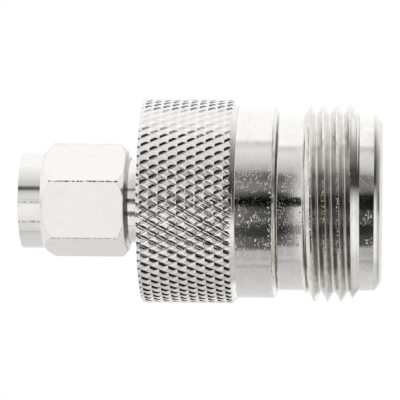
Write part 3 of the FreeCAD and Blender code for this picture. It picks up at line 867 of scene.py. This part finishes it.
def plain_finish(name, colour, shade, metallic, roughness, grain, depth):
    """A finish of one material whose colour and gloss vary a little with a fine grain."""
    finish = bpy.data.materials.new(name)
    finish.use_nodes = True
    tree = finish.node_tree
    shader = tree.nodes["Principled BSDF"]
    shader.inputs["Metallic"].default_value = metallic
    fine = add(tree, "Group", grain, node_tree=grains).outputs["Grain"]
    mixed = blended(tree, ranged(tree, fine, *FINE_RANGE), colour, shade)
    gloss = ranged(tree, fine, *FINE_RANGE, roughness * GLOSS_LEAST, roughness * GLOSS_MOST)
    bump = add(tree, "Bump", {"Height": fine, "Distance": depth * MM, "Strength": 1.0})
    tree.links.new(mixed, shader.inputs["Base Color"])
    tree.links.new(gloss, shader.inputs["Roughness"])
    tree.links.new(bump.outputs[0], shader.inputs["Normal"])
    return finish


ring.data.materials.append(plain_finish(
    "spring_bronze", colour=(0.68, 0.50, 0.33, 1), shade=(0.55, 0.38, 0.24, 1), metallic=1.0,
    roughness=0.30, grain={"Round": 0.6, "Along": 14.0}, depth=0.006))
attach(ring, "ring")
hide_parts("snap_ring")

# Gasket: a soft washer moulded in red silicone. It lies loose on the shank's end face, round the
# foot of the contact tube, and a mating jack presses it.
GASKET_OUTLINE = ((2.86, 23.45), (3.12, 23.45), (3.12, 24.05), (2.86, 24.05))
GASKET_EDGE = 0.05
gasket = finished(turned("silicone_washer", GASKET_OUTLINE, SHELL_SIDES), GASKET_EDGE)
gasket.data.materials.append(plain_finish(
    "red_silicone", colour=(0.62, 0.17, 0.10, 1), shade=(0.50, 0.12, 0.07, 1), metallic=0.0,
    roughness=0.55, grain={"Round": 7.0, "Along": 7.0}, depth=0.010))
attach(gasket, "shell")
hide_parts("sma_gasket")

# Insulators: the jack's bead and the plug's sleeve, both turned from white PTFE bar. Each is pressed
# into its shell and holds a contact on the axis.
BEAD_OUTLINE = ((1.10, 9.40), (3.50, 9.40), (3.50, 14.90), (1.10, 14.90))
SLEEVE_OUTLINE = ((0.635, 14.90), (2.065, 14.90), (2.065, 26.00), (0.635, 26.00))
BEAD_EDGE, SLEEVE_EDGE = 0.05, 0.03
bead = finished(turned("ptfe_bead", BEAD_OUTLINE, SHELL_SIDES), BEAD_EDGE)
sleeve = finished(turned("ptfe_sleeve", SLEEVE_OUTLINE, SHELL_SIDES), SLEEVE_EDGE)
ptfe = plain_finish(
    "turned_ptfe", colour=(0.90, 0.90, 0.88, 1), shade=(0.84, 0.84, 0.81, 1), metallic=0.0,
    roughness=0.42, grain={"Round": 0.5, "Along": 9.0}, depth=0.008)
for piece, node in ((bead, "n_insulator"), (sleeve, "sma_insulator")):
    piece.data.materials.append(ptfe)
    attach(piece, "shell")
    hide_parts(node)

# Centre contacts: the jack's socket with four sprung fingers, whose stem holds the plug's pin.
# Both are turned in beryllium copper and plated with gold.
SOCKET_OUTLINE = (
    (0.825, 9.10), (0.825, 5.10), (0.90, 5.00), (1.36, 5.00), (1.52, 5.20), (1.52, 9.40), (1.10, 9.40),
    (1.10, 14.90), (0.45, 14.90), (0.45, 12.90),
)
SLOT_WIDTH, SLOT_END_Z, SLOT_REACH, SLOT_DEGREES = 0.25, 8.60, 2, (45, 135)
SOCKET_SIDES, SOCKET_EDGE = 64, 0.02
PIN_OUTLINE = (
    (0.45, 12.90), (0.45, 14.90), (0.635, 14.90), (0.635, 26.00), (0.4635, 26.00), (0.4635, 27.90),
    (0.41, 28.08), (0.32, 28.19), (0.18, 28.25),
)
PIN_SIDES, PIN_EDGE = 48, 0.01
socket = turned("socket_contact", SOCKET_OUTLINE, SOCKET_SIDES, closed=False)
for degrees in SLOT_DEGREES:
    bpy.ops.object.select_all(action="DESELECT")
    bpy.ops.mesh.primitive_cube_add(size=2 * MM, location=(0, 0, (SLOT_END_Z - SLOT_REACH) * MM))
    slot = bpy.context.object
    slot.scale = (SLOT_REACH, SLOT_WIDTH / 2, SLOT_REACH)
    slot.rotation_euler.z = math.radians(degrees)
    bpy.ops.object.transform_apply(location=True, rotation=True, scale=True)
    cut(socket, slot)
finished(socket, SOCKET_EDGE)
pin = finished(turned("pin_contact", PIN_OUTLINE, PIN_SIDES, closed=False), PIN_EDGE)
gold = plain_finish(
    "satin_gold", colour=(0.86, 0.66, 0.32, 1), shade=(0.78, 0.57, 0.25, 1), metallic=1.0,
    roughness=0.20, grain={"Round": 0.4, "Along": 16.0}, depth=0.006)
for piece, node in ((socket, "n_centre_contact"), (pin, "sma_centre_pin")):
    piece.data.materials.append(gold)
    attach(piece, "shell")
    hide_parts(node)
